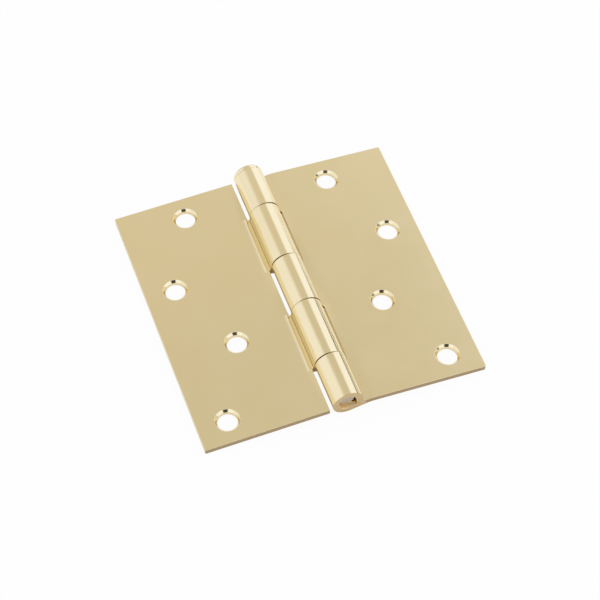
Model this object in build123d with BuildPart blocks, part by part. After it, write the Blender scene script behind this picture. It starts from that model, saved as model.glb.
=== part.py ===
import os
from math import asin, atan2, cos, degrees, hypot, radians, sin, tan

from build123d import *

# Full mortise hinge lying open on its back: two leaves rolled from sheet, on a loose pin.
# Millimetres. X runs across the leaves, Y along the barrel to the pin's head, Z up from the table.

# Leaves
leaf_height = 101.6
leaf_reach = 50.8  # pin axis to a leaf's outer edge
leaf_thickness = 2.15
leaf_corner = 0.5  # rounding of the two outer corners
closed_gap = 2.0  # between the leaf faces when the hinge is folded shut

# Screw holes: an inner and an outer row, staggered, countersunk on the front
hole_diameter = 7.1
countersink_diameter = 8.7
countersink_angle = 82
inner_row = 27.0  # pin axis to the row
outer_row = 40.0
hole_pitch = 28.15  # along the barrel, from a hole to the next in the other row

# Barrel
pin_diameter = 6.3
pin_clearance = 0.05  # radial, pin in knuckle
end_knuckle = 17.3
inner_knuckle = 23.45  # each knuckle of the two-knuckle leaf
knuckle_shift = 0.4  # the inner seams sit this far towards the pin's head
knuckle_gap = 0.18
notch_clearance = 1.15  # a leaf's edge from the other leaf's knuckles
swage_angle = 16  # slope of the sheet from the leaf down to a knuckle
swage_radius = 12.0  # middle of the sheet, where the slope begins
tail_angle = 8  # the roll ends this far above the leaf's level and runs on straight
roll_gap = 0.1  # the rolled end stops this far from its own leaf

# Pin
head_diameter = 10.6
head_height = 2.0
head_rounding = 1.2
pin_recess = 1.4  # the plain end inside the barrel's mouth
pin_end_chamfer = 0.5

# Section of the rolled sheet, measured from the pin axis
bore_radius = pin_diameter / 2 + pin_clearance
barrel_radius = bore_radius + leaf_thickness
roll_radius = bore_radius + leaf_thickness / 2
front_depth = closed_gap / 2
middle_depth = front_depth + leaf_thickness / 2
back_depth = front_depth + leaf_thickness
slope = radians(swage_angle)
tail = radians(tail_angle)
tangent_point = (roll_radius * sin(slope), -roll_radius * cos(slope))
swage_corner = (tangent_point[0] + (roll_radius * cos(slope) - middle_depth) / tan(slope), -middle_depth)
swage_start = (swage_corner[0] + swage_radius * tan(slope / 2), -middle_depth)
tab_root = (swage_start[0] + leaf_thickness, -middle_depth)
notch_point = (barrel_radius + notch_clearance, -middle_depth)
outer_point = (leaf_reach, -middle_depth)
roll_start = swage_angle - 90
roll_turn = 360 + roll_start - tail_angle
tail_start = (roll_radius * cos(tail), roll_radius * sin(tail))
tail_run = (bore_radius - roll_gap - barrel_radius * sin(slope - tail)) / cos(slope - tail)
tail_end = (tail_start[0] + tail_run * sin(tail), tail_start[1] - tail_run * cos(tail))

# Pose: the barrel and both leaves' outer back edges touch the table
axis_height = barrel_radius
droop = asin(axis_height / hypot(leaf_reach, back_depth)) - atan2(back_depth, leaf_reach)

# Along the barrel: the part is centred on its whole length, the pin's head included
leaf_middle = -head_height / 2
leaf_top = leaf_middle + leaf_height / 2
leaf_bottom = leaf_middle - leaf_height / 2
middle_knuckle = leaf_height - 2 * end_knuckle - 2 * inner_knuckle
seam_middle = leaf_middle + knuckle_shift
seam_near = middle_knuckle / 2
seam_far = seam_near + inner_knuckle

RIGHT = 1
LEFT = -1


def section_plane(side, y):
    """Across a leaf at y: local X runs out along the leaf from the pin axis, local Y towards its front."""
    outwards = (side * cos(droop), 0, -sin(droop))
    return Plane(origin=(0, y, axis_height), x_dir=outwards, z_dir=(0, -side, 0))


def front_plane(side):
    """On a leaf's front face: local X runs out along the leaf from the pin axis."""
    outwards = (side * cos(droop), 0, -sin(droop))
    normal = (side * sin(droop), 0, cos(droop))
    return Plane(origin=(0, leaf_middle, axis_height), x_dir=outwards, z_dir=normal).offset(-front_depth)


def rolled_leaf(side, knuckles):
    """A leaf and its knuckles, each knuckle given by where it starts and ends along the barrel."""
    front = front_plane(side)
    ends = [leaf_bottom, *[end for knuckle in knuckles for end in knuckle], leaf_top]
    lands = [(start, end) for start, end in zip(ends[::2], ends[1::2]) if end > start]
    with BuildPart() as leaf:
        # Plate, flat to where the knuckles are swaged down
        with BuildSketch(section_plane(side, leaf_middle)):
            with BuildLine():
                Line(outer_point, swage_start)
            trace(line_width=leaf_thickness)
        extrude(amount=leaf_height / 2, both=True)
        uprights = leaf.edges().filter_by(Axis(front.origin, front.z_dir))
        outer_uprights = uprights.sort_by(Axis(front.origin, front.x_dir))[-2:]
        fillet(outer_uprights, radius=leaf_corner)

        # Lands beside the knuckles, flat to the notches that the other leaf's knuckles turn in
        for start, end in lands:
            with BuildSketch(section_plane(side, (start + end) / 2)):
                with BuildLine():
                    Line(swage_start, notch_point)
                trace(line_width=leaf_thickness)
            extrude(amount=(end - start) / 2, both=True)

        # Knuckles, swaged down, rolled under the pin, over it and back to their own leaf
        for start, end in knuckles:
            with BuildSketch(section_plane(side, (start + end) / 2)):
                with BuildLine():
                    FilletPolyline(tab_root, swage_corner, tangent_point, radius=swage_radius)
                    CenterArc((0, 0), roll_radius, roll_start, -roll_turn)
                    Line(tail_start, tail_end)
                trace(line_width=leaf_thickness)
            extrude(amount=(end - start) / 2, both=True)

        # Screw holes, the inner row first
        steps = ((1.5, inner_row), (0.5, outer_row), (-0.5, inner_row), (-1.5, outer_row))
        with Locations(front):
            with Locations(*[(row, side * step * hole_pitch) for step, row in steps]):
                CounterSinkHole(
                    radius=hole_diameter / 2,
                    counter_sink_radius=countersink_diameter / 2,
                    counter_sink_angle=countersink_angle,
                )
    return leaf


# Right leaf: the two end knuckles and the middle one
three_knuckle_leaf = rolled_leaf(
    RIGHT,
    [
        (leaf_bottom, seam_middle - seam_far - knuckle_gap / 2),
        (seam_middle - seam_near + knuckle_gap / 2, seam_middle + seam_near - knuckle_gap / 2),
        (seam_middle + seam_far + knuckle_gap / 2, leaf_top),
    ],
)

# Left leaf: the two knuckles between
two_knuckle_leaf = rolled_leaf(
    LEFT,
    [
        (seam_middle - seam_far + knuckle_gap / 2, seam_middle - seam_near - knuckle_gap / 2),
        (seam_middle + seam_near + knuckle_gap / 2, seam_middle + seam_far - knuckle_gap / 2),
    ],
)

# Loose pin: its button head seats on the top knuckle, its plain end stops inside the bottom one
with BuildPart() as hinge_pin:
    with BuildSketch(Plane(origin=(0, leaf_bottom + pin_recess, axis_height), z_dir=(0, 1, 0))):
        Circle(pin_diameter / 2)
    extrude(amount=leaf_height - pin_recess)
    chamfer(hinge_pin.edges().group_by(Axis.Y)[0], length=pin_end_chamfer)
    with BuildSketch(Plane(origin=(0, leaf_top, axis_height), z_dir=(0, 1, 0))):
        Circle(head_diameter / 2)
    extrude(amount=head_height)
    fillet(hinge_pin.edges().group_by(Axis.Y)[-1], radius=head_rounding)

os.makedirs("parts", exist_ok=True)
for label, piece in (
    ("three_knuckle_leaf", three_knuckle_leaf),
    ("two_knuckle_leaf", two_knuckle_leaf),
    ("hinge_pin", hinge_pin),
):
    piece.part.label = label
    export_step(piece.part, f"parts/{label}.step")
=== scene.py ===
from math import asin, atan2, cos, hypot, pi, radians, sin, tan

import bmesh
import bpy
from mathutils import Matrix, Vector


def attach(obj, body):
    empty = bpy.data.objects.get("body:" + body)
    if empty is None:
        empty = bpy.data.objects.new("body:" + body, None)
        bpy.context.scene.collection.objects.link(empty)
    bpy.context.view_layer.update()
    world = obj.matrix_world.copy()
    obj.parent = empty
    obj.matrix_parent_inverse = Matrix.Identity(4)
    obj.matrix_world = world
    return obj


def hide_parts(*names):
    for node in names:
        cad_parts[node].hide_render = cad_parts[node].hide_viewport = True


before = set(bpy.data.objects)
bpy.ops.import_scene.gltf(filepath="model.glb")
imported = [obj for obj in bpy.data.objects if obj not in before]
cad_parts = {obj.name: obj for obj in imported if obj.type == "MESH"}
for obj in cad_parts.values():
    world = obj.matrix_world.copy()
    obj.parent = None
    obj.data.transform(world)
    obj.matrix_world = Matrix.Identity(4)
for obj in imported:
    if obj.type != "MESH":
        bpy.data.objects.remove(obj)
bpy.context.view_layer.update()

# Full mortise hinge lying open on its back, in bright brass plate.
# Each leaf starts as a flat punched blank. A Geometry Nodes tree sets the screw holes in it,
# then swages it and rolls its tabs round the pin, as the press tool does.

MM = 0.001

# Leaf sheet
leaf_height = 101.6 * MM
leaf_reach = 50.8 * MM
leaf_thickness = 2.15 * MM
leaf_corner = 0.5 * MM
closed_gap = 2.0 * MM
front_rollover = 0.12 * MM  # rounding that the shear leaves on the front edges
back_break = 0.1 * MM  # rounding of the back edges
flat_rim = 0.12 * MM  # flat strip kept beside each rounding and bend
corner_steps = 4
long_edge_share = 0.25  # how sheared a leaf's long outer edge looks, where its two ends count as 1; the ends' darkness is partly painted shade
rolled_end_share = 0.65  # how sheared its rolled ends look

# Screw holes
hole_diameter = 7.1 * MM
countersink_diameter = 8.7 * MM
countersink_angle = radians(82)
inner_row = 27.0 * MM
outer_row = 40.0 * MM
hole_pitch = 28.15 * MM
hole_rim = 0.04 * MM  # rounding at a hole's edges
hole_patch = 12.0 * MM  # square of sheet that each hole is set in
hole_sides = 64
weld_distance = 0.002 * MM  # joins the squares to the rest of the sheet
HOLE_STEPS = (-1.5, -0.5, 0.5, 1.5)  # in pitches from the middle of the leaf; outer and inner row in turn

# Barrel
pin_diameter = 6.3 * MM
pin_clearance = 0.05 * MM
end_knuckle = 17.3 * MM
inner_knuckle = 23.45 * MM
knuckle_shift = 0.4 * MM
knuckle_gap = 0.18 * MM
notch_clearance = 1.15 * MM
swage_angle = radians(16)
swage_radius = 12.0 * MM
tail_angle = radians(8)
roll_gap = 0.1 * MM
tab_ease = 1.2 * MM  # how soon the sheet beside a tab is flat again
out_of_round = 0.13 * MM  # a rolled knuckle bulges towards its closing edge
bulge_lead_in = 0.6  # radians of roll over which the bulge sets in
bend_steps = 12
roll_steps = 110

# Pin
head_diameter = 10.6 * MM
head_height = 2.0 * MM
head_rounding = 1.2 * MM
pin_recess = 1.4 * MM
pin_end_chamfer = 0.5 * MM
pin_ease = 0.08 * MM  # rounding of the pin's other corners
head_steps = 8
pin_sides = 96

# Section of the rolled sheet, from the pin axis
bore_radius = pin_diameter / 2 + pin_clearance
barrel_radius = bore_radius + leaf_thickness
roll_radius = bore_radius + leaf_thickness / 2
middle_depth = (closed_gap + leaf_thickness) / 2
back_depth = closed_gap / 2 + leaf_thickness
swage_drop = roll_radius * cos(swage_angle) - middle_depth
swage_corner = roll_radius * sin(swage_angle) + swage_drop / tan(swage_angle)
bend_tangent = swage_radius * tan(swage_angle / 2)
roll_turn = 1.5 * pi + swage_angle - tail_angle
tail_lean = swage_angle - tail_angle
tail_run = (bore_radius - roll_gap - barrel_radius * sin(tail_lean)) / cos(tail_lean)

# The same section laid flat: distances along the middle of the sheet from the leaf's outer edge
bend_start = leaf_reach - swage_corner - bend_tangent
bend_end = bend_start + swage_radius * swage_angle
roll_start = bend_end + swage_drop / sin(swage_angle) - bend_tangent
tail_start = roll_start + roll_radius * roll_turn
tab_end = tail_start + tail_run
notch_line = leaf_reach - barrel_radius - notch_clearance

# How it lies: the barrel and both leaves' outer back edges on the table
axis_height = barrel_radius
droop = asin(axis_height / hypot(leaf_reach, back_depth)) - atan2(back_depth, leaf_reach)
leaf_middle = -head_height / 2
leaf_top = leaf_middle + leaf_height / 2
leaf_bottom = leaf_middle - leaf_height / 2

# Where the knuckles meet along the barrel
seam_middle = leaf_middle + knuckle_shift
seam_near = leaf_height / 2 - end_knuckle - inner_knuckle
seam_far = seam_near + inner_knuckle
half_gap = knuckle_gap / 2
RIGHT_KNUCKLES = [
    (leaf_bottom, seam_middle - seam_far - half_gap),
    (seam_middle - seam_near + half_gap, seam_middle + seam_near - half_gap),
    (seam_middle + seam_far + half_gap, leaf_top),
]
LEFT_KNUCKLES = [
    (seam_middle - seam_far + half_gap, seam_middle - seam_near - half_gap),
    (seam_middle + seam_near + half_gap, seam_middle + seam_far - half_gap),
]
RIGHT = 1.0
LEFT = -1.0


# Node helpers


def add_node(tree, kind, **settings):
    """A new node with its own settings."""
    node = tree.nodes.new(kind)
    for name, value in settings.items():
        setattr(node, name, value)
    return node


def feed(tree, target, source):
    """Sets an input from a number, a colour or another node's output."""
    if isinstance(source, bpy.types.NodeSocket):
        tree.links.new(source, target)
    else:
        target.default_value = source


def calc(tree, operation, *terms):
    """The result of one sum on numbers or other nodes' outputs."""
    node = add_node(tree, "ShaderNodeMath", operation=operation)
    for target, term in zip(node.inputs, terms):
        feed(tree, target, term)
    return node.outputs[0]


def smooth_step(tree, value, low, high):
    """0 at low, 1 at high, easing in and out."""
    node = add_node(tree, "ShaderNodeMapRange", interpolation_type="SMOOTHSTEP")
    for target, term in zip(node.inputs, (value, low, high, 0.0, 1.0)):
        feed(tree, target, term)
    return node.outputs[0]


def mix_colour(tree, share, first, second):
    """The first colour at share 0, the second at share 1."""
    node = add_node(tree, "ShaderNodeMix", data_type="RGBA")
    feed(tree, node.inputs["Factor"], share)
    feed(tree, node.inputs[6], first)
    feed(tree, node.inputs[7], second)
    return node.outputs[2]


def new_group(name, kind, inputs, outputs):
    """An empty node group with named sockets, and its input and output nodes."""
    group = bpy.data.node_groups.new(name, kind)
    for direction, sockets in (("INPUT", inputs), ("OUTPUT", outputs)):
        for label, socket in sockets:
            group.interface.new_socket(label, in_out=direction, socket_type=socket)
    return group, add_node(group, "NodeGroupInput"), add_node(group, "NodeGroupOutput")


def set_inputs(modifier, values):
    """Sets a modifier's named inputs by their identifiers."""
    for item in modifier.node_group.interface.items_tree:
        if item.item_type == "SOCKET" and item.in_out == "INPUT" and item.name in values:
            modifier[item.identifier] = values[item.name]


# Flat blank, drawn as X along the sheet from its outer edge, Y along the barrel, Z through it


def edge_profile():
    """(inset, height, share of sheared look and painted shade) of an edge from its back face round to its
    front face.
    """
    half = leaf_thickness / 2
    turns = (pi / 8, pi / 4, 3 * pi / 8)
    steps = [(back_break + flat_rim, -half, 0.0), (back_break, -half, 0.5)]
    steps += [(back_break * (1 - sin(a)), -half + back_break * (1 - cos(a)), 1.0) for a in turns]
    steps += [(0, -half + back_break, 1.0), (0, -half + back_break + flat_rim, 1.0)]
    steps += [(0, half - front_rollover - flat_rim, 1.0), (0, half - front_rollover, 0.7)]
    for a, share in zip(turns, (0.3, 0.1, 0.0)):
        steps.append((front_rollover * (1 - cos(a)), half - front_rollover * (1 - sin(a)), share))
    return steps + [(front_rollover, half, 0.0), (front_rollover + flat_rim, half, 0.0)]


EDGE_PROFILE = edge_profile()


def hole_rows():
    """Heights of the four screw holes along the barrel."""
    return [leaf_middle + step * hole_pitch for step in HOLE_STEPS]


def plate_lines():
    """Lines across the flat plate, either side of the screw holes."""
    half = hole_patch / 2
    return [leaf_reach - row + side * half for row in (outer_row, inner_row) for side in (-1, 1)]


def plate_heights():
    """Lines along the flat plate, either side of the screw holes."""
    half = hole_patch / 2
    return [row + side * half for row in hole_rows() for side in (-1, 1)]


def bend_lines():
    """Lines across the bend of the swage."""
    return [bend_start + (bend_end - bend_start) * step / bend_steps for step in range(bend_steps + 1)]


def swage_lines():
    """Lines across the swaged strip, from the plate to the notches."""
    last = notch_line - front_rollover - flat_rim * 2
    return [bend_start - flat_rim * 3] + [line for line in bend_lines() if line < last] + [notch_line]


def swage_heights(knuckles):
    """Lines along the swaged strip: each tab's sides, and steps where the sheet beside it turns flat."""
    lines = []
    for start, end in knuckles:
        for edge, outwards in ((start, -1), (end, 1)):
            lines += [edge + outwards * tab_ease * step / 4 for step in range(5)]
    return sorted(line for line in lines if leaf_bottom < line < leaf_top)


def tab_lines():
    """Lines across a tab, from the slope to just short of its end."""
    lines = [line for line in bend_lines() if line > notch_line + flat_rim] + [roll_start - flat_rim * 3]
    lines += [roll_start + (tail_start - roll_start) * step / roll_steps for step in range(roll_steps + 1)]
    return lines + [tail_start + flat_rim * 3, tab_end - front_rollover - flat_rim * 3]


def tab_share(height, knuckles):
    """1 in a tab, easing to 0 in the flat sheet beside it."""
    nearest = min(max(start - height, height - end, 0.0) for start, end in knuckles)
    share = max(1.0 - nearest / tab_ease, 0.0)
    return share * share * (3.0 - 2.0 * share)


def blank_corners(knuckles):
    """Corners of the blank, walked with the sheet on the left."""
    corners = [(0.0, leaf_bottom)]
    height = leaf_bottom
    for start, end in knuckles:
        if start > height:
            corners += [(notch_line, height), (notch_line, start)]
        corners += [(tab_end, start), (tab_end, end)]
        height = end
    if height < leaf_top:
        corners += [(notch_line, height), (notch_line, leaf_top)]
    return corners + [(0.0, leaf_top)]


def blank_outline(knuckles):
    """Points round the blank as (along, height, inset along, inset height, name of the grid corner)."""
    corners = blank_corners(knuckles)
    along_lines = plate_lines() + swage_lines() + tab_lines()
    points = []
    for index, (along, height) in enumerate(corners):
        before = corners[index - 1]
        after = corners[(index + 1) % len(corners)]
        arriving = ((along > before[0]) - (along < before[0]), (height > before[1]) - (height < before[1]))
        leaving = ((after[0] > along) - (after[0] < along), (after[1] > height) - (after[1] < height))
        inset = (-arriving[1] - leaving[1], arriving[0] + leaving[0])
        if along == 0.0:
            # Rounded outer corner
            centre = (along + inset[0] * leaf_corner, height + inset[1] * leaf_corner)
            first = atan2(-arriving[0], arriving[1])
            for step in range(corner_steps + 1):
                turn = first + step * pi / 2 / corner_steps
                spot = (centre[0] + cos(turn) * leaf_corner, centre[1] + sin(turn) * leaf_corner)
                points.append((*spot, -cos(turn), -sin(turn), (along, height)))
        else:
            points.append((along, height, inset[0], inset[1], (along, height)))
        if leaving[0]:
            low, high = sorted((along, after[0]))
            passed = [line for line in along_lines if low < line < high]
            for line in passed if leaving[0] > 0 else reversed(passed):
                points.append((line, height, 0, leaving[0], (line, height)))
        elif along == 0.0:
            for line in reversed(plate_heights()):
                points.append((along, line, 1, 0, (along, line)))
        elif along == notch_line:
            for line in swage_heights(knuckles):
                if height < line < after[1]:
                    points.append((along, line, -1, 0, (along, line)))
    return points


def sheared_and_shade_share(along, inset_height):
    """How sheared an edge looks, with painted shade: most at a leaf's ends, less on its rolled ends, least
    along the barrel.
    """
    runs_along_barrel = abs(inset_height) < 0.5
    if runs_along_barrel and along <= notch_line:
        return long_edge_share if along < notch_line else 0.0
    return rolled_end_share if along >= notch_line else 1.0


def leaf_blank(name, knuckles, finish):
    """The flat blank as one closed shell, with a square left open for each screw hole."""
    outline = blank_outline(knuckles)
    shell = bmesh.new()
    edge = shell.verts.layers.float.new("edge")
    tab = shell.verts.layers.float.new("tab")
    inside = shell.verts.layers.float.new("inside")
    rings = []
    for inset, depth, share in EDGE_PROFILE:
        ring = [shell.verts.new((p[0] + inset * p[2], p[1] + inset * p[3], depth)) for p in outline]
        for vert, point in zip(ring, outline):
            vert[edge] = share * sheared_and_shade_share(point[0], point[3])
        rings.append(ring)
    count = len(outline)
    for lower, upper in zip(rings, rings[1:]):
        for here in range(count):
            after = (here + 1) % count
            shell.faces.new((lower[here], lower[after], upper[after], upper[here]))
    for ring, depth in ((rings[0], -leaf_thickness / 2), (rings[-1], leaf_thickness / 2)):
        cover_blank(shell, ring, outline, depth, knuckles)
    front_face = leaf_thickness * 0.498  # the flat front alone, which a roll turns inside
    for vert in shell.verts:
        vert[tab] = tab_share(vert.co.y, knuckles)
        vert[inside] = 1.0 if vert.co.x > roll_start and vert.co.z > front_face else 0.0
    bmesh.ops.recalc_face_normals(shell, faces=shell.faces)
    mesh = bpy.data.meshes.new(name)
    shell.to_mesh(mesh)
    shell.free()
    mesh.materials.append(finish)
    piece = bpy.data.objects.new(name, mesh)
    bpy.context.scene.collection.objects.link(piece)
    return piece


def cover_blank(shell, ring, outline, depth, knuckles):
    """Faces of the front or back of the blank, inside its sheared edge."""
    at = {}
    for vert, point in zip(ring, outline):
        at.setdefault(point[4], []).append(vert)

    def cover(lines, heights):
        for left, right in zip(lines, lines[1:]):
            for low, high in zip(heights, heights[1:]):
                if is_hole_square((left + right) / 2, (low + high) / 2):
                    continue
                corners = ((left, low), (right, low), (right, high), (left, high))
                for corner in corners:
                    if corner not in at:
                        at[corner] = [shell.verts.new((*corner, depth))]
                shell.faces.new([vert for corner in corners for vert in at[corner]])

    # Plate, leaving the squares that the screw holes fill; then the swaged strip and the tabs
    plate = [0.0] + plate_lines()
    rows = [leaf_bottom] + plate_heights() + [leaf_top]
    cover(plate, rows)
    strip = swage_lines()
    steps = [leaf_bottom] + swage_heights(knuckles) + [leaf_top]
    cover(strip, steps)
    for start, end in knuckles:
        cover([notch_line] + tab_lines() + [tab_end], [start, end])

    # One flat face joins the plate to the swaged strip
    around = [at[(plate[-1], row)][0] for row in reversed(rows)]
    shell.faces.new(around + [at[(strip[0], step)][0] for step in steps])


def is_hole_square(along, height):
    """True inside the square of a screw hole; the holes alternate between the outer and the inner row."""
    for index, row in enumerate(hole_rows()):
        reach = (outer_row, inner_row)[index % 2]
        if abs(leaf_reach - along - reach) < hole_patch / 2 and abs(height - row) < hole_patch / 2:
            return True
    return False


def hole_square(finish):
    """One countersunk screw hole in its square of sheet."""
    half = leaf_thickness / 2
    bore = hole_diameter / 2
    mouth = countersink_diameter / 2
    lean = countersink_angle / 2
    depth = (mouth - bore) / tan(lean)
    rim = hole_rim

    # Radius, height and sheared look: front and mouth, cone, then bore and back
    profile = [
        (mouth + rim + flat_rim * 2, half, 0.0),
        (mouth + rim, half, 0.0),
        (mouth + rim * 0.35, half - rim * 0.12, 0.0),
        (mouth - rim * 0.15, half - rim * 0.5, 0.0),
        (mouth - rim, half - rim / tan(lean), 0.0),
        (mouth - rim * 2, half - rim * 2 / tan(lean), 0.0),
        (bore + rim, half - depth + rim / tan(lean), 0.0),
        (bore + rim * 0.3, half - depth + rim * 0.2, 0.0),
        (bore, half - depth - rim, 0.0),
        (bore, -half + rim * 2, 0.0),
        (bore, -half + rim, 0.1),
        (bore + rim * 0.3, -half + rim * 0.3, 0.2),
        (bore + rim, -half, 0.1),
        (bore + rim + flat_rim, -half, 0.0),
    ]
    shell = bmesh.new()
    edge = shell.verts.layers.float.new("edge")
    rings = []
    for radius, height, share in profile:
        ring = []
        for side in range(hole_sides):
            turn = (side + 0.5) * 2 * pi / hole_sides + pi / 4
            vert = shell.verts.new((radius * cos(turn), radius * sin(turn), height))
            vert[edge] = share
            ring.append(vert)
        rings.append(ring)
    for upper, lower in zip(rings, rings[1:]):
        for side in range(hole_sides):
            after = (side + 1) % hole_sides
            shell.faces.new((upper[side], lower[side], lower[after], upper[after]))
    quarter = hole_sides // 4
    for ring, height in ((rings[0], half), (rings[-1], -half)):
        corners = []
        for turn in range(4):
            aim = pi / 4 + turn * pi / 2
            reach = hole_patch / 2 * 2 ** 0.5
            corners.append(shell.verts.new((reach * cos(aim), reach * sin(aim), height)))
        for turn in range(4):
            arc = [ring[(turn * quarter + step - 1) % hole_sides] for step in range(quarter + 1)]
            shell.faces.new([corners[turn], corners[(turn + 1) % 4]] + list(reversed(arc)))
    mesh = bpy.data.meshes.new("screw_hole")
    shell.to_mesh(mesh)
    shell.free()
    mesh.materials.append(finish)
    return bpy.data.objects.new("screw_hole", mesh)


# Press tool: sets the screw holes in a blank, swages it and rolls its tabs


def press_tool():
    """The node tree that presses a leaf from its blank."""
    sizes = (
        "Leaf reach", "Inner row", "Outer row", "Hole pitch", "Leaf middle", "Middle depth", "Flat run",
        "Swage angle", "Swage radius", "Slope run", "Roll radius", "Roll turn", "Sheet thickness",
        "Out of round", "Droop", "Axis height", "Side",
    )
    inputs = [("Blank", "NodeSocketGeometry"), ("Screw hole", "NodeSocketObject")]
    inputs += [("Finish", "NodeSocketMaterial")] + [(name, "NodeSocketFloat") for name in sizes]
    tree, start, end = new_group("press_leaf", "GeometryNodeTree", inputs, [("Leaf", "NodeSocketGeometry")])
    size = start.outputs

    # Four screw holes in a zigzag
    line = add_node(tree, "GeometryNodeMeshLine", mode="OFFSET")
    feed(tree, line.inputs["Count"], len(HOLE_STEPS))
    offset = add_node(tree, "ShaderNodeCombineXYZ")
    feed(tree, offset.inputs["Y"], size["Hole pitch"])
    feed(tree, line.inputs["Offset"], offset.outputs[0])
    zigzag = add_node(tree, "ShaderNodeCombineXYZ")
    index = add_node(tree, "GeometryNodeInputIndex")
    odd = calc(tree, "MODULO", index.outputs[0], 2.0)
    row_step = calc(tree, "MULTIPLY", odd, calc(tree, "SUBTRACT", size["Outer row"], size["Inner row"]))
    row = calc(tree, "SUBTRACT", size["Outer row"], row_step)
    feed(tree, zigzag.inputs["X"], calc(tree, "SUBTRACT", size["Leaf reach"], row))
    lowest = calc(tree, "MULTIPLY_ADD", size["Hole pitch"], HOLE_STEPS[0], size["Leaf middle"])
    feed(tree, zigzag.inputs["Y"], lowest)
    placed = add_node(tree, "GeometryNodeSetPosition")
    feed(tree, placed.inputs["Geometry"], line.outputs[0])
    feed(tree, placed.inputs["Offset"], zigzag.outputs[0])
    hole = add_node(tree, "GeometryNodeObjectInfo")
    feed(tree, hole.inputs["Object"], size["Screw hole"])
    punched = add_node(tree, "GeometryNodeInstanceOnPoints")
    feed(tree, punched.inputs["Points"], placed.outputs[0])
    feed(tree, punched.inputs["Instance"], hole.outputs["Geometry"])
    whole = add_node(tree, "GeometryNodeJoinGeometry")
    tree.links.new(punched.outputs[0], whole.inputs[0])
    tree.links.new(size["Blank"], whole.inputs[0])
    realised = add_node(tree, "GeometryNodeRealizeInstances")
    feed(tree, realised.inputs[0], whole.outputs[0])
    welded = add_node(tree, "GeometryNodeMergeByDistance")
    feed(tree, welded.inputs["Geometry"], realised.outputs[0])
    feed(tree, welded.inputs["Distance"], weld_distance)

    # How far a point of a tab lies into the flat, the bend, the slope, the roll and the straight tail
    place = add_node(tree, "ShaderNodeSeparateXYZ")
    feed(tree, place.inputs[0], add_node(tree, "GeometryNodeInputPosition").outputs[0])
    along = place.outputs["X"]
    angle = size["Swage angle"]
    flat = calc(tree, "MINIMUM", along, size["Flat run"])
    past_flat = calc(tree, "SUBTRACT", along, size["Flat run"])
    bend = calc(tree, "MINIMUM", calc(tree, "DIVIDE", past_flat, size["Swage radius"]), angle)
    bend = calc(tree, "MAXIMUM", bend, 0.0)
    bend_run = calc(tree, "MULTIPLY", angle, size["Swage radius"])
    past_bend = calc(tree, "SUBTRACT", past_flat, bend_run)
    slope = calc(tree, "MAXIMUM", calc(tree, "MINIMUM", past_bend, size["Slope run"]), 0.0)
    past_slope = calc(tree, "SUBTRACT", past_bend, size["Slope run"])
    turn = calc(tree, "MINIMUM", calc(tree, "DIVIDE", past_slope, size["Roll radius"]), size["Roll turn"])
    turn = calc(tree, "MAXIMUM", turn, 0.0)
    rest = calc(tree, "SUBTRACT", angle, turn)
    roll_run = calc(tree, "MULTIPLY", size["Roll radius"], size["Roll turn"])
    tail = calc(tree, "MAXIMUM", calc(tree, "SUBTRACT", past_slope, roll_run), 0.0)

    # Middle of the sheet, out from the pin axis and towards the front
    out = calc(tree, "SUBTRACT", size["Leaf reach"], flat)
    out = calc(tree, "SUBTRACT", out, calc(tree, "MULTIPLY", size["Swage radius"], calc(tree, "SINE", bend)))
    out = calc(tree, "SUBTRACT", out, calc(tree, "MULTIPLY", slope, calc(tree, "COSINE", angle)))
    swing = calc(tree, "SUBTRACT", calc(tree, "SINE", rest), calc(tree, "SINE", angle))
    out = calc(tree, "MULTIPLY_ADD", size["Roll radius"], swing, out)
    out = calc(tree, "SUBTRACT", out, calc(tree, "MULTIPLY", tail, calc(tree, "COSINE", rest)))
    up = calc(tree, "SUBTRACT", calc(tree, "COSINE", bend), 1.0)
    up = calc(tree, "MULTIPLY", up, size["Swage radius"])
    up = calc(tree, "SUBTRACT", up, size["Middle depth"])
    up = calc(tree, "SUBTRACT", up, calc(tree, "MULTIPLY", slope, calc(tree, "SINE", angle)))
    rise = calc(tree, "SUBTRACT", calc(tree, "COSINE", angle), calc(tree, "COSINE", rest))
    up = calc(tree, "MULTIPLY_ADD", size["Roll radius"], rise, up)
    up = calc(tree, "SUBTRACT", up, calc(tree, "MULTIPLY", tail, calc(tree, "SINE", rest)))

    # Through the sheet, with the roll's outside a little out of round
    outside = calc(tree, "DIVIDE", calc(tree, "MULTIPLY", place.outputs["Z"], -2.0), size["Sheet thickness"])
    outside = calc(tree, "MAXIMUM", outside, 0.0)
    outside = calc(tree, "MULTIPLY", outside, smooth_step(tree, turn, 0.0, bulge_lead_in))
    bulge = calc(tree, "SINE", calc(tree, "MULTIPLY", rest, 2.0))
    bulge = calc(tree, "MULTIPLY", calc(tree, "MULTIPLY", bulge, outside), size["Out of round"])
    through = calc(tree, "ADD", place.outputs["Z"], bulge)
    heading = calc(tree, "SUBTRACT", bend, turn)
    out = calc(tree, "SUBTRACT", out, calc(tree, "MULTIPLY", through, calc(tree, "SINE", heading)))
    up = calc(tree, "MULTIPLY_ADD", through, calc(tree, "COSINE", heading), up)

    # Beside the tabs the sheet stays flat
    tab = add_node(tree, "GeometryNodeInputNamedAttribute", data_type="FLOAT")
    feed(tree, tab.inputs["Name"], "tab")
    share = tab.outputs["Attribute"]
    flat_out = calc(tree, "SUBTRACT", size["Leaf reach"], along)
    flat_up = calc(tree, "SUBTRACT", place.outputs["Z"], size["Middle depth"])
    out = calc(tree, "MULTIPLY_ADD", calc(tree, "SUBTRACT", out, flat_out), share, flat_out)
    up = calc(tree, "MULTIPLY_ADD", calc(tree, "SUBTRACT", up, flat_up), share, flat_up)

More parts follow.
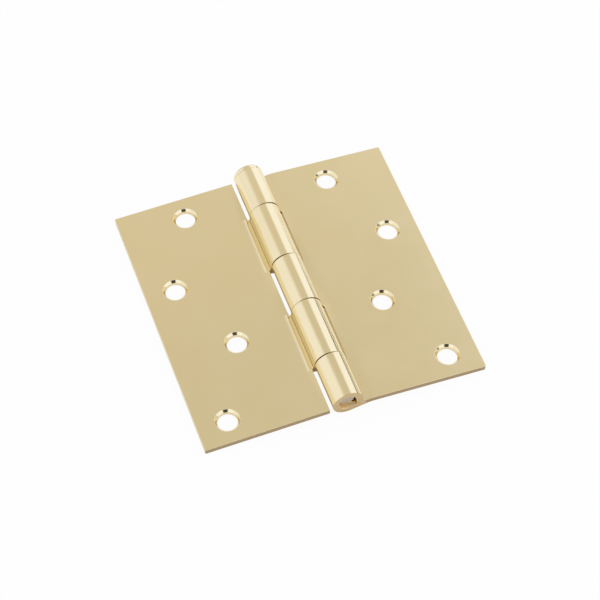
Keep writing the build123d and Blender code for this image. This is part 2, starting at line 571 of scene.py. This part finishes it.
    # Laid on the table, on its own side of the pin
    lean_sin = calc(tree, "SINE", size["Droop"])
    lean_cos = calc(tree, "COSINE", size["Droop"])
    x = calc(tree, "ADD", calc(tree, "MULTIPLY", out, lean_cos), calc(tree, "MULTIPLY", up, lean_sin))
    z = calc(tree, "SUBTRACT", calc(tree, "MULTIPLY", up, lean_cos), calc(tree, "MULTIPLY", out, lean_sin))
    laid = add_node(tree, "ShaderNodeCombineXYZ")
    feed(tree, laid.inputs["X"], calc(tree, "MULTIPLY", x, size["Side"]))
    feed(tree, laid.inputs["Y"], place.outputs["Y"])
    feed(tree, laid.inputs["Z"], calc(tree, "ADD", z, size["Axis height"]))
    pressed = add_node(tree, "GeometryNodeSetPosition")
    feed(tree, pressed.inputs["Geometry"], welded.outputs[0])
    feed(tree, pressed.inputs["Position"], laid.outputs[0])
    smooth = add_node(tree, "GeometryNodeSetShadeSmooth")
    feed(tree, smooth.inputs[0], pressed.outputs[0])
    single = add_node(tree, "GeometryNodeRealizeInstances")
    feed(tree, single.inputs[0], smooth.outputs[0])
    plated = add_node(tree, "GeometryNodeSetMaterial")
    feed(tree, plated.inputs["Geometry"], single.outputs[0])
    feed(tree, plated.inputs["Material"], size["Finish"])
    feed(tree, end.inputs[0], plated.outputs[0])
    return tree


def pressed_leaf(name, tree, knuckles, side, hole, finish):
    """A leaf pressed from its blank, as one plain mesh in its place."""
    blank = leaf_blank(name + "_blank", knuckles, finish)
    press = blank.modifiers.new("press", "NODES")
    press.node_group = tree
    set_inputs(
        press,
        {
            "Screw hole": hole,
            "Finish": finish,
            "Leaf reach": leaf_reach,
            "Inner row": inner_row,
            "Outer row": outer_row,
            "Hole pitch": hole_pitch,
            "Leaf middle": leaf_middle,
            "Middle depth": middle_depth,
            "Flat run": bend_start,
            "Swage angle": swage_angle,
            "Swage radius": swage_radius,
            "Slope run": roll_start - bend_end,
            "Roll radius": roll_radius,
            "Roll turn": roll_turn,
            "Sheet thickness": leaf_thickness,
            "Out of round": out_of_round,
            "Droop": droop,
            "Axis height": axis_height,
            "Side": side,
        },
    )
    settled = bpy.context.evaluated_depsgraph_get()
    mesh = bpy.data.meshes.new_from_object(
        blank.evaluated_get(settled), preserve_all_data_layers=True, depsgraph=settled
    )
    bpy.data.objects.remove(blank)
    mesh.name = name
    outward(mesh)
    leaf = bpy.data.objects.new(name, mesh)
    bpy.context.scene.collection.objects.link(leaf)
    return leaf


def outward(mesh):
    """Turns every face of a closed mesh outwards."""
    shell = bmesh.new()
    shell.from_mesh(mesh)
    bmesh.ops.recalc_face_normals(shell, faces=shell.faces)
    shell.to_mesh(mesh)
    shell.free()


def turned_pin(name, finish):
    """The loose pin, turned about the barrel's axis: plain end, shank, and a button head."""
    shank = pin_diameter / 2
    head = head_diameter / 2
    near = leaf_bottom + pin_recess
    ease = pin_ease
    end_radius = shank - pin_end_chamfer
    shank_start = near + pin_end_chamfer
    head_top = leaf_top + head_height

    # Radius and place along the barrel: plain end, shank, then the head
    profile = [
        (0.0, near),
        (end_radius - ease * 2, near),
        (end_radius - ease, near),
        (end_radius + ease * 0.6, near + ease * 0.6),
        (shank - ease * 0.6, shank_start - ease * 0.6),
        (shank, shank_start + ease),
        (shank, shank_start + ease * 2),
        (shank, leaf_top - ease * 2),
        (shank, leaf_top - ease),
        (shank, leaf_top),
        (shank + ease, leaf_top),
        (head - ease * 3, leaf_top),
        (head - ease * 1.5, leaf_top),
        (head - ease * 0.45, leaf_top + ease * 0.45),
        (head, leaf_top + ease * 1.5),
        (head, head_top - head_rounding - ease),
    ]
    for step in range(head_steps + 1):
        turn = step * pi / 2 / head_steps
        radius = head - head_rounding * (1 - cos(turn))
        profile.append((radius, head_top - head_rounding * (1 - sin(turn))))
    profile += [(head - head_rounding - ease * 2, head_top), (0.0, head_top)]
    shell = bmesh.new()
    edge = shell.verts.layers.float.new("edge")
    rings = []
    for radius, place in profile:
        sides = pin_sides if radius > 0.0 else 1
        ring = []
        for side in range(sides):
            turn = side * 2 * pi / sides
            vert = shell.verts.new((radius * cos(turn), place, axis_height + radius * sin(turn)))
            vert[edge] = 1.0 if place < near + pin_end_chamfer / 2 else 0.0
            ring.append(vert)
        rings.append(ring)
    for lower, upper in zip(rings, rings[1:]):
        for side in range(pin_sides):
            after = (side + 1) % pin_sides
            corners = [lower[place % len(lower)] for place in (side, after)]
            corners += [upper[place % len(upper)] for place in (after, side)]
            shell.faces.new(list(dict.fromkeys(corners)))
    bmesh.ops.recalc_face_normals(shell, faces=shell.faces)
    mesh = bpy.data.meshes.new(name)
    shell.to_mesh(mesh)
    shell.free()
    mesh.shade_smooth()
    mesh.materials.append(finish)
    pin = bpy.data.objects.new(name, mesh)
    bpy.context.scene.collection.objects.link(pin)
    return pin


# Finish: bright brass plate under a thin clear lacquer

PALE_BRASS = (0.905, 0.79, 0.505, 1)
DEEP_BRASS = (0.89, 0.77, 0.475, 1)
# Painted bounce light: inside a roll, a brighter, deeper gold than the plate
ROLL_INSIDE_BOUNCE_GLOW = (1.0, 0.74, 0.32, 1)
LEAF_WORN = (0.57, 0.42, 0.205, 1)  # rolled ends
LEAF_CUT_AND_SHADE = (0.38, 0.275, 0.135, 1)  # sheared ends, darker also with painted shade
PIN_WORN = (0.65, 0.55, 0.38, 1)
PIN_CUT = (0.5, 0.41, 0.32, 1)
LEAF_LINES = (4000.0, 60.0, 4000.0)  # buffing lines in a metre, each way
PIN_LINES = (40.0, 5000.0, 40.0)
NOISE_RANGE = (0.3, 0.7)  # the part of a noise that is spread from 0 to 1
drift_size = 22 * MM
drift_detail = 3.0
line_detail = 4.0
line_share = 0.6  # of the roughness that the buffing lines make
wave_size = 7 * MM
wave_detail = 1.0
wave_share = 0.4
wave_height = 2.0  # beside 1 for the lines
least_roughness = 0.12
most_roughness = 0.17
edge_roughness = 0.25  # added on cut edges
inside_roughness = 0.35  # added inside a roll
inside_bounce_share = 0.6  # share of the inside of a roll that is matte, so that its painted bounce gold shows
leaf_bare = 0.0  # the same on a leaf's cut edges
pin_bare = 0.7  # and on the pin's cut end
coat_weight = 0.6
coat_roughness = 0.06
bump_strength = 0.2
bump_depth = 0.01 * MM


def plating_tone():
    """Slow drift of the plating between two brass tones."""
    sockets = [("Vector", "NodeSocketVector"), ("Pale brass", "NodeSocketColor")]
    sockets += [("Deep brass", "NodeSocketColor"), ("Drift size", "NodeSocketFloat")]
    group, start, end = new_group("plating_tone", "ShaderNodeTree", sockets, [("Colour", "NodeSocketColor")])
    drift = add_node(group, "ShaderNodeTexNoise")
    feed(group, drift.inputs["Vector"], start.outputs["Vector"])
    feed(group, drift.inputs["Scale"], calc(group, "DIVIDE", 1.0, start.outputs["Drift size"]))
    feed(group, drift.inputs["Detail"], drift_detail)
    share = smooth_step(group, drift.outputs[0], *NOISE_RANGE)
    colour = mix_colour(group, share, start.outputs["Pale brass"], start.outputs["Deep brass"])
    feed(group, end.inputs["Colour"], colour)
    return group


def polish_marks():
    """Fine buffing lines along the stretched direction, and a faint unevenness of the sheet."""
    sockets = [("Vector", "NodeSocketVector"), ("Lines", "NodeSocketVector")]
    sockets += [(name, "NodeSocketFloat") for name in ("Least roughness", "Most roughness", "Wave size")]
    results = [(name, "NodeSocketFloat") for name in ("Roughness", "Line height", "Wave height")]
    group, start, end = new_group("polish_marks", "ShaderNodeTree", sockets, results)
    stretch = add_node(group, "ShaderNodeVectorMath", operation="MULTIPLY")
    feed(group, stretch.inputs[0], start.outputs["Vector"])
    feed(group, stretch.inputs[1], start.outputs["Lines"])
    lines = add_node(group, "ShaderNodeTexNoise")
    feed(group, lines.inputs["Vector"], stretch.outputs[0])
    feed(group, lines.inputs["Scale"], 1.0)
    feed(group, lines.inputs["Detail"], line_detail)
    wave = add_node(group, "ShaderNodeTexNoise")
    feed(group, wave.inputs["Vector"], start.outputs["Vector"])
    feed(group, wave.inputs["Scale"], calc(group, "DIVIDE", 1.0, start.outputs["Wave size"]))
    feed(group, wave.inputs["Detail"], wave_detail)
    haze = calc(group, "MULTIPLY", wave.outputs[0], wave_share)
    haze = calc(group, "MULTIPLY_ADD", lines.outputs[0], line_share, haze)
    haze = smooth_step(group, haze, *NOISE_RANGE)
    spread = calc(group, "SUBTRACT", start.outputs["Most roughness"], start.outputs["Least roughness"])
    roughness = calc(group, "MULTIPLY_ADD", haze, spread, start.outputs["Least roughness"])
    feed(group, end.inputs["Roughness"], roughness)
    feed(group, end.inputs["Line height"], lines.outputs[0])
    feed(group, end.inputs["Wave height"], wave.outputs[0])
    return group


def brass_plate(name, tone, marks, lines, worn_colour, cut_and_shade_colour, bare_share):
    """Bright brass plate, duller on cut edges, with painted shade on a leaf's ends, and satin inside a roll
    with painted bounce light, by the mesh's attributes.
    """
    finish = bpy.data.materials.new(name)
    finish.use_nodes = True
    tree = finish.node_tree
    shader = tree.nodes["Principled BSDF"]
    place = add_node(tree, "ShaderNodeTexCoord").outputs["Object"]
    colour = add_node(tree, "ShaderNodeGroup", node_tree=tone)
    feed(tree, colour.inputs["Vector"], place)
    feed(tree, colour.inputs["Pale brass"], PALE_BRASS)
    feed(tree, colour.inputs["Deep brass"], DEEP_BRASS)
    feed(tree, colour.inputs["Drift size"], drift_size)
    polish = add_node(tree, "ShaderNodeGroup", node_tree=marks)
    feed(tree, polish.inputs["Vector"], place)
    feed(tree, polish.inputs["Lines"], lines)
    feed(tree, polish.inputs["Least roughness"], least_roughness)
    feed(tree, polish.inputs["Most roughness"], most_roughness)
    feed(tree, polish.inputs["Wave size"], wave_size)
    edge = add_node(tree, "ShaderNodeAttribute", attribute_name="edge").outputs["Fac"]
    inside = add_node(tree, "ShaderNodeAttribute", attribute_name="inside").outputs["Fac"]

    # Plate, then worn plate, then cut metal, as an edge looks more sheared; on a leaf the cut colour is
    # darker also with painted shade
    worn_share = smooth_step(tree, edge, 0.0, rolled_end_share)
    worn = mix_colour(tree, worn_share, colour.outputs["Colour"], worn_colour)
    base = mix_colour(tree, smooth_step(tree, edge, rolled_end_share, 1.0), worn, cut_and_shade_colour)
    # Inside a roll the colour turns to the painted bounce gold
    feed(tree, shader.inputs["Base Color"], mix_colour(tree, inside, base, ROLL_INSIDE_BOUNCE_GLOW))
    dull = calc(tree, "MULTIPLY", edge, edge_roughness)
    dull = calc(tree, "MULTIPLY_ADD", inside, inside_roughness, dull)
    feed(tree, shader.inputs["Roughness"], calc(tree, "ADD", dull, polish.outputs["Roughness"]))
    # Inside a roll a share of the surface is matte, showing the painted bounce gold
    bounce_inside = calc(tree, "MULTIPLY", inside, inside_bounce_share)
    bare_and_bounce = calc(tree, "MAXIMUM", bounce_inside, calc(tree, "MULTIPLY", edge, bare_share))
    feed(tree, shader.inputs["Metallic"], calc(tree, "SUBTRACT", 1.0, bare_and_bounce))
    feed(tree, shader.inputs["Coat Weight"], coat_weight)
    feed(tree, shader.inputs["Coat Roughness"], coat_roughness)
    waves = polish.outputs["Wave height"]
    height = calc(tree, "MULTIPLY_ADD", waves, wave_height, polish.outputs["Line height"])
    bump = add_node(tree, "ShaderNodeBump")
    feed(tree, bump.inputs["Strength"], bump_strength)
    feed(tree, bump.inputs["Distance"], bump_depth)
    feed(tree, bump.inputs["Height"], height)
    feed(tree, shader.inputs["Normal"], bump.outputs[0])
    return finish


# Pieces

tone = plating_tone()
marks = polish_marks()
leaf_finish = brass_plate("leaf_brass", tone, marks, LEAF_LINES, LEAF_WORN, LEAF_CUT_AND_SHADE, leaf_bare)
pin_finish = brass_plate("pin_brass", tone, marks, PIN_LINES, PIN_WORN, PIN_CUT, pin_bare)
hole = hole_square(leaf_finish)
tree = press_tool()
right_leaf = pressed_leaf("right_leaf", tree, RIGHT_KNUCKLES, RIGHT, hole, leaf_finish)
left_leaf = pressed_leaf("left_leaf", tree, LEFT_KNUCKLES, LEFT, hole, leaf_finish)
loose_pin = turned_pin("loose_pin", pin_finish)
bpy.data.objects.remove(hole)

for piece, node, body, slot in (
    (right_leaf, "three_knuckle_leaf", "fixed_leaf", "leaf_plate"),
    (left_leaf, "two_knuckle_leaf", "swinging_leaf", "leaf_plate"),
    (loose_pin, "hinge_pin", "pin", "pin_plate"),
):
    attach(piece, body)
    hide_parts(node)


# Studio

WHITE = (1, 1, 1, 1)
CEILING_NEAR = (0.69, 0.645, 0.565, 1)
CEILING_FAR = (0.752, 0.703, 0.616, 1)
LEFT_BOX_NEAR = (0.98, 1.0, 1.08, 1)
LEFT_BOX_FAR = (0.93, 0.93, 0.98, 1)
RIGHT_BOX = (1.06, 1.1, 1.25, 1)
FRONT_PANEL = (1.08, 1.12, 1.3, 1)
SKIRTING = (0.1, 0.085, 0.05, 1)
DARK_VIEWER = (0.05, 0.045, 0.03, 1)

# Edges in the studio, each from where it begins to where it is full. The boxes' angles are from
# straight up, across the barrel. The rest are parts of a direction's length: of its level length for
# SKIRTING_RIGHT, SKIRTING_FAR and VIEWER_SIDES, of its whole length for the others.
LEFT_BOX_EDGE = (radians(-12), radians(-40))
RIGHT_BOX_EDGE = (radians(21), radians(35))
FAR_EDGE = (0.52, 0.575)
FRONT_EDGE = (-0.3, -0.5)
SKIRTING_RIGHT = (0.83, 0.848)
SKIRTING_FAR = (0.7, 0.85)
SKIRTING_TOP = (0.2, 0.1)
VIEWER_WAY = (-0.117, -0.993)
VIEWER_SIDES = (0.935, 0.96)
VIEWER_FOOT = (0.05, 0.15)
VIEWER_TOP = (0.6, 0.52)
least_level = 0.001  # keeps a direction straight up from dividing by nothing

# Table
TABLE_PAPER = (0.95, 0.95, 0.95, 1)
TABLE_SHADE = (1.0, 0.84, 0.58, 1)  # warm with the light that brass throws under the sheet
table_half = 3.0
table_drop = -0.02 * MM
SHADE_EDGE = (0.25, 0.95)  # open share of the sky, from the deepest shade to none
shade_samples = 6
shade_reach = 30 * MM  # how far off a piece still shades the table
shade_least = 0.3  # brightness of the deepest shade in reflections
table_glow = 0.94  # share of the table's white that is its own

# Camera, solved from the photo
lens_length = 124.83
sensor_width = 36.0
nearest_seen = 0.01
CAMERA_PLACE = Vector((-151.93, -388.62, 599.21)) * MM
CAMERA_RIGHT = Vector((0.9394, -0.34231, 0.01896))
CAMERA_UP = Vector((0.27159, 0.7768, 0.56817))
CAMERA_BACK = Vector((-0.20922, -0.52859, 0.82269))


def studio_world():
    """A grey ceiling between two softboxes that run along the barrel, and white to the camera."""
    world = bpy.data.worlds.new("studio")
    bpy.context.scene.world = world
    world.use_nodes = True
    tree = world.node_tree
    tree.nodes.clear()
    direction = add_node(tree, "ShaderNodeSeparateXYZ")
    feed(tree, direction.inputs[0], add_node(tree, "ShaderNodeTexCoord").outputs["Generated"])
    x, y, z = direction.outputs
    tilt = calc(tree, "ARCTAN2", x, z)
    left_box = smooth_step(tree, tilt, *LEFT_BOX_EDGE)
    right_box = smooth_step(tree, tilt, *RIGHT_BOX_EDGE)
    far = smooth_step(tree, y, *FAR_EDGE)
    colour = mix_colour(tree, far, CEILING_NEAR, CEILING_FAR)
    colour = mix_colour(tree, left_box, colour, mix_colour(tree, far, LEFT_BOX_NEAR, LEFT_BOX_FAR))
    colour = mix_colour(tree, right_box, colour, RIGHT_BOX)

    # A bright panel stands behind the camera
    colour = mix_colour(tree, smooth_step(tree, y, *FRONT_EDGE), colour, FRONT_PANEL)

    # Compass direction, whatever the height
    flat_square = calc(tree, "ADD", calc(tree, "MULTIPLY", x, x), calc(tree, "MULTIPLY", y, y))
    flat_length = calc(tree, "MAXIMUM", calc(tree, "SQRT", flat_square), least_level)

    # Dark skirting along the right and the far side
    to_right = smooth_step(tree, calc(tree, "DIVIDE", x, flat_length), *SKIRTING_RIGHT)
    to_far = smooth_step(tree, calc(tree, "DIVIDE", y, flat_length), *SKIRTING_FAR)
    low = smooth_step(tree, z, *SKIRTING_TOP)
    skirting = calc(tree, "MULTIPLY", calc(tree, "MAXIMUM", to_right, to_far), low)
    colour = mix_colour(tree, skirting, colour, SKIRTING)

    # The camera's own dark shape, which the far walls of the screw holes show
    towards = calc(tree, "MULTIPLY", y, VIEWER_WAY[1])
    towards = calc(tree, "ADD", calc(tree, "MULTIPLY", x, VIEWER_WAY[0]), towards)
    towards = smooth_step(tree, calc(tree, "DIVIDE", towards, flat_length), *VIEWER_SIDES)
    tall = smooth_step(tree, z, *VIEWER_TOP)
    tall = calc(tree, "MULTIPLY", smooth_step(tree, z, *VIEWER_FOOT), tall)
    viewer = calc(tree, "MULTIPLY", towards, tall)
    colour = mix_colour(tree, viewer, colour, DARK_VIEWER)

    room = add_node(tree, "ShaderNodeBackground")
    feed(tree, room.inputs["Color"], colour)
    white = add_node(tree, "ShaderNodeBackground")
    feed(tree, white.inputs["Color"], WHITE)
    seen = add_node(tree, "ShaderNodeMixShader")
    feed(tree, seen.inputs[0], add_node(tree, "ShaderNodeLightPath").outputs["Is Camera Ray"])
    tree.links.new(room.outputs[0], seen.inputs[1])
    tree.links.new(white.outputs[0], seen.inputs[2])
    output = add_node(tree, "ShaderNodeOutputWorld")
    tree.links.new(seen.outputs[0], output.inputs["Surface"])


def white_table():
    """A white table top, shaded and warm in reflections where the hinge keeps the light off it."""
    corners = [(-table_half, -table_half), (table_half, -table_half)]
    corners += [(table_half, table_half), (-table_half, table_half)]
    mesh = bpy.data.meshes.new("table_top")
    mesh.from_pydata([(*corner, table_drop) for corner in corners], [], [(0, 1, 2, 3)])
    table = bpy.data.objects.new("table_top", mesh)
    bpy.context.scene.collection.objects.link(table)
    finish = bpy.data.materials.new("white_table")
    finish.use_nodes = True
    tree = finish.node_tree
    tree.nodes.clear()
    paper = add_node(tree, "ShaderNodeBsdfDiffuse")
    feed(tree, paper.inputs["Color"], TABLE_PAPER)
    light_path = add_node(tree, "ShaderNodeLightPath").outputs
    reflected = calc(tree, "MAXIMUM", light_path["Is Glossy Ray"], light_path["Is Transmission Ray"])
    open_sky = add_node(tree, "ShaderNodeAmbientOcclusion", samples=shade_samples)
    feed(tree, open_sky.inputs["Distance"], shade_reach)
    lit = smooth_step(tree, open_sky.outputs["AO"], *SHADE_EDGE)
    shaded = calc(tree, "MULTIPLY_ADD", lit, 1.0 - shade_least, shade_least)
    unshaded = calc(tree, "MAXIMUM", light_path["Is Camera Ray"], lit)
    glow = add_node(tree, "ShaderNodeEmission")
    feed(tree, glow.inputs["Color"], mix_colour(tree, unshaded, TABLE_SHADE, WHITE))
    seen = calc(tree, "MAXIMUM", light_path["Is Camera Ray"], calc(tree, "MULTIPLY", reflected, shaded))
    mix = add_node(tree, "ShaderNodeMixShader")
    feed(tree, mix.inputs[0], calc(tree, "MULTIPLY", seen, table_glow))
    tree.links.new(paper.outputs[0], mix.inputs[1])
    tree.links.new(glow.outputs[0], mix.inputs[2])
    output = add_node(tree, "ShaderNodeOutputMaterial")
    tree.links.new(mix.outputs[0], output.inputs["Surface"])
    mesh.materials.append(finish)


def photo_camera():
    """The photo's own camera."""
    lens = bpy.data.cameras.new("camera")
    lens.sensor_width = sensor_width
    lens.lens = lens_length
    lens.clip_start = nearest_seen
    camera = bpy.data.objects.new("camera", lens)
    bpy.context.scene.collection.objects.link(camera)
    turn = Matrix((CAMERA_RIGHT, CAMERA_UP, CAMERA_BACK)).transposed().to_4x4()
    camera.matrix_world = Matrix.Translation(CAMERA_PLACE) @ turn
    bpy.context.scene.camera = camera


studio_world()
white_table()
photo_camera()
bpy.context.scene.view_settings.view_transform = "Standard"
